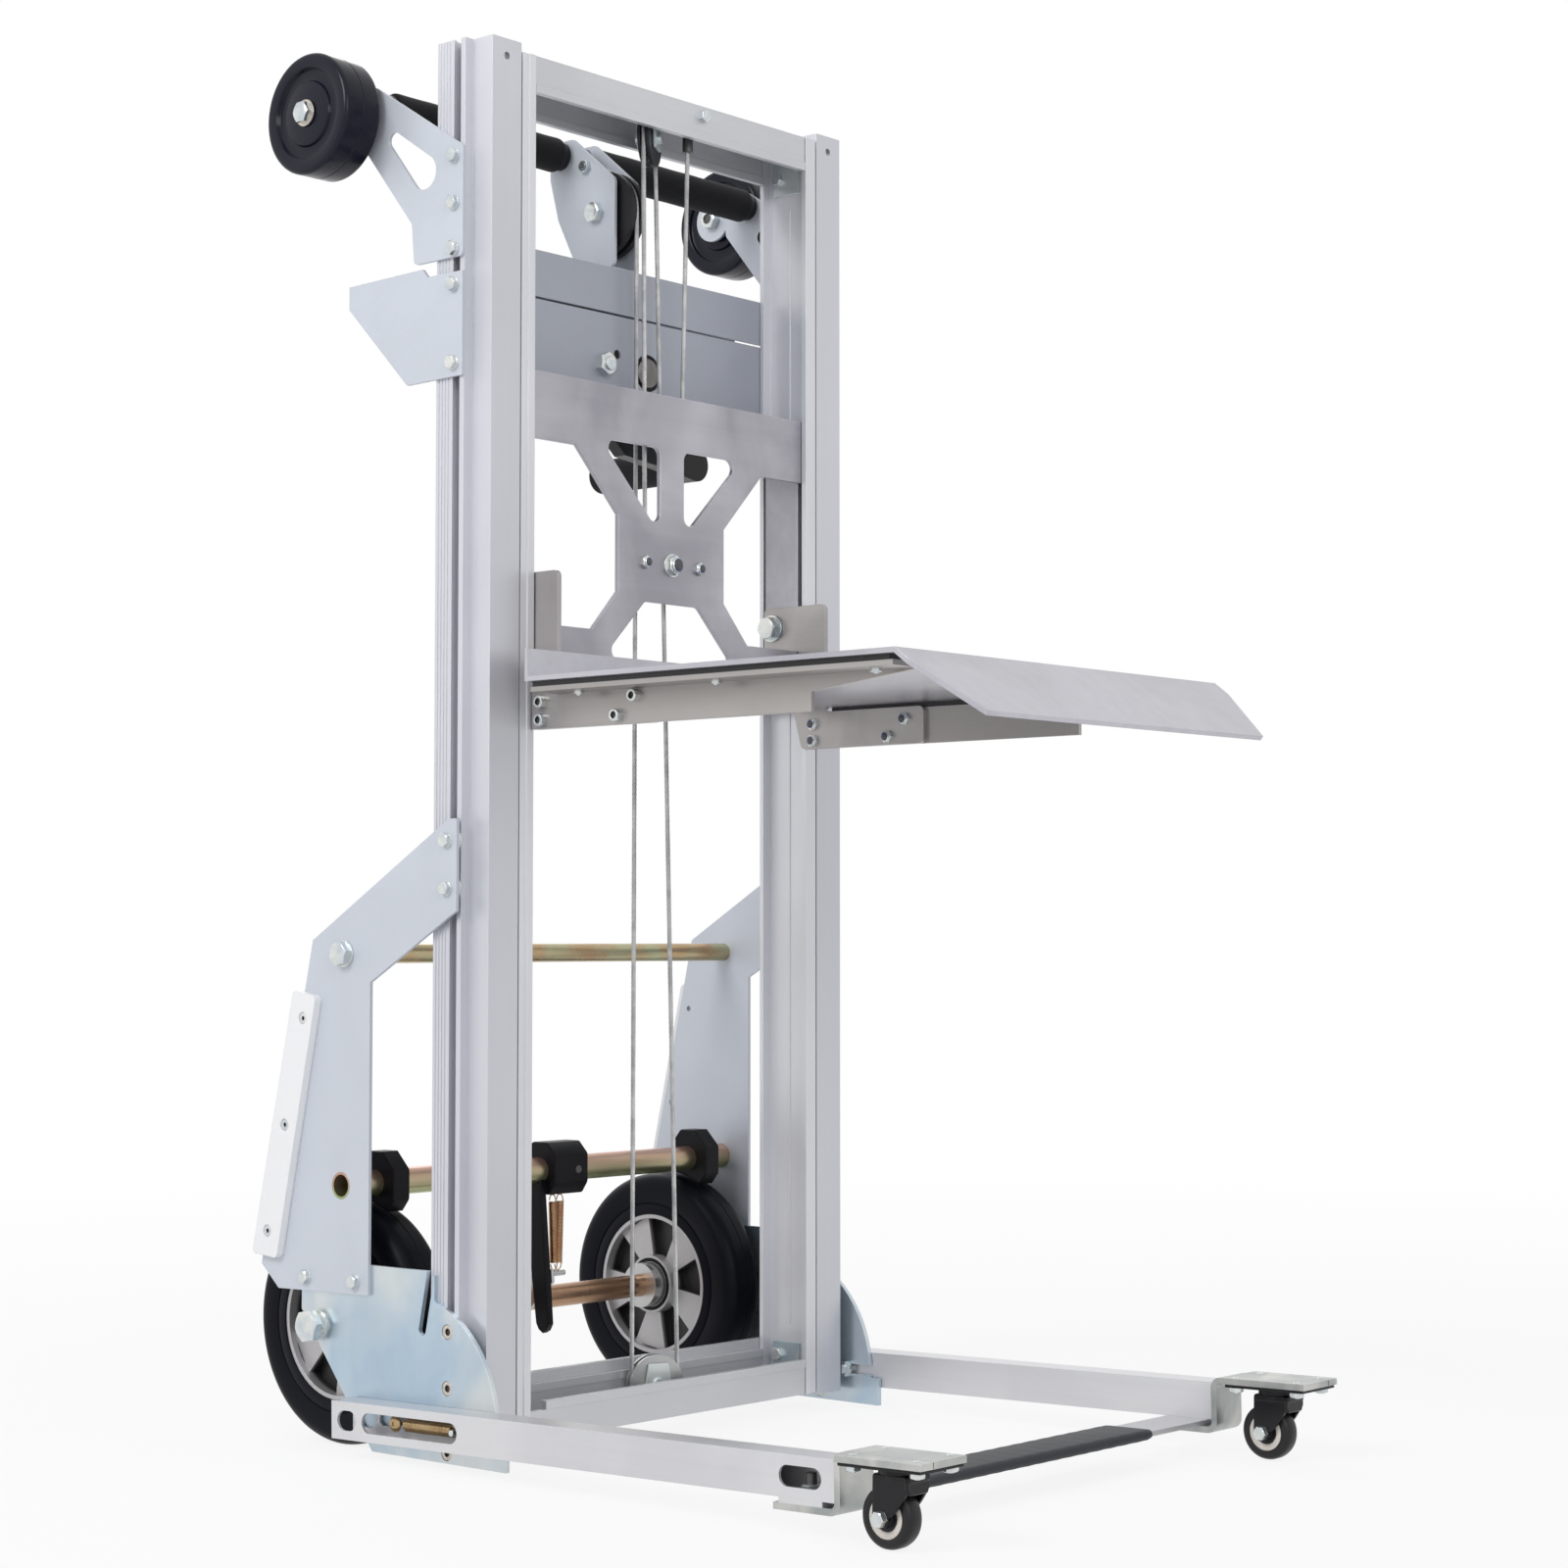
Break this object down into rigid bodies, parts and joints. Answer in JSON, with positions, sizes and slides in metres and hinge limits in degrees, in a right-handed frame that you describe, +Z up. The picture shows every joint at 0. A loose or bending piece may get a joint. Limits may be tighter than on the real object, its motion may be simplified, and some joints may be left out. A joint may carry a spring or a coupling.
{
  "type": "portable material lift",
  "caption": "Hand-winch material lift: telescoping aluminium mast with folding platform on a carriage, fold-up caster legs, large rear wheels with a brake, and a transport handle.",
  "frame": {"origin": "floor level, midway between the caster brackets' front edges and the crank grip's rear end, on the mast's middle plane", "axes": "+Z up along the mast, -Y towards the platform's front, +X across to the side with the crank grip"},
  "size_m": [0.554, 0.7645, 1.14],
  "materials": {
    "outer_columns": "satin anodised extrusion",
    "rear_cross_beam": "brushed aluminium plate",
    "top_wheel_brackets": "pale grey-blue steel plate",
    "handle_tube": "black",
    "handle_grips": "matte black foam",
    "winch_side_plates": "pale grey-blue steel plate",
    "winch_front_panel": "pale grey-blue steel plate",
    "winch_top_channel": "pale grey-blue steel plate",
    "winch_frame": "clear zinc plating",
    "pulley_bracket": "pale grey-blue steel plate",
    "side_plates": "pale grey-blue steel plate",
    "skids": "white polyethylene",
    "cam_plates": "clear zinc plating",
    "tie_rod": "yellow chromate zinc",
    "wheel_axle": "yellow chromate zinc",
    "frame_bolts": "zinc plated",
    "hoist_cable": "wire rope",
    "brake_springs": "yellow chromate zinc",
    "inner_columns": "satin anodised extrusion",
    "top_beam": "satin anodised extrusion",
    "bottom_beam": "satin anodised extrusion",
    "corner_brackets": "clear zinc plating",
    "beam_bolts": "zinc plated",
    "pulley_yokes": "clear zinc plating",
    "top_pulley": "dark moulded plastic",
    "bottom_pulley": "dark moulded plastic",
    "head_pulley": "dark moulded plastic",
    "carriage_pulley": "dark moulded plastic",
    "carriage_plate": "brushed aluminium plate",
    "carriage_side_plates": "brushed aluminium plate",
    "guide_shoes": "nylon",
    "carriage_bolts": "zinc plated",
    "platform_plate": "brushed aluminium plate",
    "platform_rails": "brushed aluminium plate",
    "platform_brackets": "brushed aluminium plate",
    "platform_bolts": "zinc plated",
    "lock_pins": "zinc plated",
    "legs": "satin anodised extrusion",
    "cross_bar": "brushed aluminium plate",
    "cross_bar_sleeve": "matte black foam",
    "leg_end_brackets": "clear zinc plating",
    "leg_bolts": "zinc plated",
    "leg_springs": "yellow chromate zinc",
    "caster_plates": "black powder coat",
    "caster_fork_left": "black powder coat",
    "caster_fork_right": "black powder coat",
    "caster_wheel_left": "black tread, pale ring",
    "caster_wheel_right": "black tread, pale ring",
    "wheel_hub_left": "cast aluminium",
    "tyre_left": "blue-black rubber",
    "wheel_hub_right": "cast aluminium",
    "tyre_right": "blue-black rubber",
    "top_wheel_left": "dark moulded plastic",
    "top_wheel_right": "dark moulded plastic",
    "brake_tube": "yellow chromate zinc",
    "brake_blocks": "black",
    "crank_shaft": "yellow chromate zinc",
    "crank_arm": "black powder coat",
    "crank_grip": "black",
    "cable_drum": "yellow chromate zinc"
  },
  "bodies": {
    "mast_base": {"outer_columns": "outer_columns", "rear_cross_beam": "rear_cross_beam", "top_wheel_brackets": "top_wheel_brackets", "handle_tube": "handle_tube", "handle_grips": "handle_grips", "winch_side_plates": "winch_side_plates", "winch_front_panel": "winch_front_panel", "winch_top_channel": "winch_top_channel", "winch_frame": "winch_frame", "pulley_bracket": "pulley_bracket", "side_plates": "side_plates", "skids": "skids", "cam_plates": "cam_plates", "tie_rod": "tie_rod", "wheel_axle": "wheel_axle", "frame_bolts": "frame_bolts", "hoist_cable": "hoist_cable", "brake_springs": "brake_springs"},
    "inner_mast": {"inner_columns": "inner_columns", "top_beam": "top_beam", "bottom_beam": "bottom_beam", "corner_brackets": "corner_brackets", "beam_bolts": "beam_bolts", "pulley_yokes": "pulley_yokes"},
    "top_pulley": {"top_pulley": "top_pulley"},
    "bottom_pulley": {"bottom_pulley": "bottom_pulley"},
    "head_pulley": {"head_pulley": "head_pulley"},
    "carriage_pulley": {"carriage_pulley": "carriage_pulley"},
    "carriage": {"carriage_plate": "carriage_plate", "carriage_side_plates": "carriage_side_plates", "guide_shoes": "guide_shoes", "carriage_bolts": "carriage_bolts"},
    "platform": {"platform_plate": "platform_plate", "platform_rails": "platform_rails", "platform_brackets": "platform_brackets", "platform_bolts": "platform_bolts"},
    "lock_pins": {"lock_pins": "lock_pins"},
    "legs": {"legs": "legs", "cross_bar": "cross_bar", "cross_bar_sleeve": "cross_bar_sleeve", "leg_end_brackets": "leg_end_brackets", "leg_bolts": "leg_bolts", "leg_springs": "leg_springs", "caster_plates": "caster_plates"},
    "caster_fork_left": {"caster_fork_left": "caster_fork_left"},
    "caster_fork_right": {"caster_fork_right": "caster_fork_right"},
    "caster_wheel_left": {"caster_wheel_left": "caster_wheel_left"},
    "caster_wheel_right": {"caster_wheel_right": "caster_wheel_right"},
    "rear_wheel_left": {"wheel_hub_left": "wheel_hub_left", "tyre_left": "tyre_left"},
    "rear_wheel_right": {"wheel_hub_right": "wheel_hub_right", "tyre_right": "tyre_right"},
    "top_wheel_left": {"top_wheel_left": "top_wheel_left"},
    "top_wheel_right": {"top_wheel_right": "top_wheel_right"},
    "brake": {"brake_tube": "brake_tube", "brake_blocks": "brake_blocks"},
    "crank": {"crank_shaft": "crank_shaft", "crank_arm": "crank_arm"},
    "crank_grip": {"crank_grip": "crank_grip"},
    "drum": {"cable_drum": "cable_drum"}
  },
  "joints": [
    {"name": "inner_mast_lift", "type": "slide", "parent": "mast_base", "child": "inner_mast", "axis": [0, 0, 1], "range_m": [0, 0.83], "deforming": ["hoist_cable"]},
    {"name": "carriage_lift", "type": "slide", "parent": "inner_mast", "child": "carriage", "axis": [0, 0, 1], "range_m": [-0.53, 0.19], "deforming": ["hoist_cable"]},
    {"name": "platform_fold", "type": "hinge", "parent": "carriage", "child": "platform", "pos_m": [0, 0.1253, 0.691], "axis": [-1, 0, 0], "range_deg": [0, 90]},
    {"name": "leg_pull", "type": "slide", "parent": "mast_base", "child": "lock_pins", "axis": [0, -0.9998, 0.0209], "range_m": [0, 0.026], "stiffness_N_per_m": 2500, "springref_m": -0.02, "deforming": ["leg_springs"]},
    {"name": "leg_fold", "type": "hinge", "parent": "lock_pins", "child": "legs", "pos_m": [0, 0.1663, 0.033], "axis": [-1, 0, 0], "range_deg": [0, 77]},
    {"name": "caster_swivel_left", "type": "hinge", "parent": "legs", "child": "caster_fork_left", "pos_m": [-0.24, -0.34453, 0.0467], "axis": [0, 0.0209, 0.9998], "continuous": true},
    {"name": "caster_roll_left", "type": "hinge", "parent": "caster_fork_left", "child": "caster_wheel_left", "pos_m": [-0.24, -0.33604, 0.022], "axis": [1, 0, 0], "continuous": true},
    {"name": "rear_wheel_roll_left", "type": "hinge", "parent": "mast_base", "child": "rear_wheel_left", "pos_m": [-0.1885, 0.2773, 0.1], "axis": [1, 0, 0], "continuous": true},
    {"name": "top_wheel_roll_left", "type": "hinge", "parent": "mast_base", "child": "top_wheel_left", "pos_m": [-0.25, 0.2543, 1.09], "axis": [1, 0, 0], "continuous": true},
    {"name": "caster_swivel_right", "type": "hinge", "parent": "legs", "child": "caster_fork_right", "pos_m": [0.24, -0.34453, 0.0467], "axis": [0, 0.0209, 0.9998], "continuous": true},
    {"name": "caster_roll_right", "type": "hinge", "parent": "caster_fork_right", "child": "caster_wheel_right", "pos_m": [0.24, -0.33604, 0.022], "axis": [1, 0, 0], "continuous": true},
    {"name": "rear_wheel_roll_right", "type": "hinge", "parent": "mast_base", "child": "rear_wheel_right", "pos_m": [0.1885, 0.2773, 0.1], "axis": [1, 0, 0], "continuous": true},
    {"name": "top_wheel_roll_right", "type": "hinge", "parent": "mast_base", "child": "top_wheel_right", "pos_m": [0.25, 0.2543, 1.09], "axis": [1, 0, 0], "continuous": true},
    {"name": "brake_turn", "type": "hinge", "parent": "mast_base", "child": "brake", "pos_m": [0, 0.2463, 0.215], "axis": [-1, 0, 0], "range_deg": [0, 8], "stiffness_Nm_per_rad": 12, "springref_deg": -6.88, "deforming": ["brake_springs"]},
    {"name": "crank_turn", "type": "hinge", "parent": "mast_base", "child": "crank", "pos_m": [0.022, 0.1913, 0.903], "axis": [0, 1, 0], "continuous": true},
    {"name": "crank_grip_turn", "type": "hinge", "parent": "crank", "child": "crank_grip", "pos_m": [0.2, 0.3213, 0.856], "axis": [0, 1, 0], "continuous": true},
    {"name": "drum_turn", "type": "hinge", "parent": "mast_base", "child": "drum", "pos_m": [-0.033, 0.1913, 0.903], "axis": [0, 1, 0], "continuous": true},
    {"name": "head_pulley_turn", "type": "hinge", "parent": "mast_base", "child": "head_pulley", "pos_m": [-0.005, 0.1673, 1.039], "axis": [1, 0, 0], "continuous": true},
    {"name": "top_pulley_turn", "type": "hinge", "parent": "inner_mast", "child": "top_pulley", "pos_m": [-0.008, 0.1158, 1.097], "axis": [-0.5, 0.866, 0], "continuous": true},
    {"name": "bottom_pulley_turn", "type": "hinge", "parent": "inner_mast", "child": "bottom_pulley", "pos_m": [0.01, 0.1233, 0.042], "axis": [0.3907, 0.9205, 0], "continuous": true},
    {"name": "carriage_pulley_turn", "type": "hinge", "parent": "carriage", "child": "carriage_pulley", "pos_m": [0, 0.1073, 0.73], "axis": [0, 1, 0], "continuous": true}
  ],
  "couplings": [
    {"joint": "crank_turn", "follows": "drum_turn", "ratio": -3.2308}
  ]
}
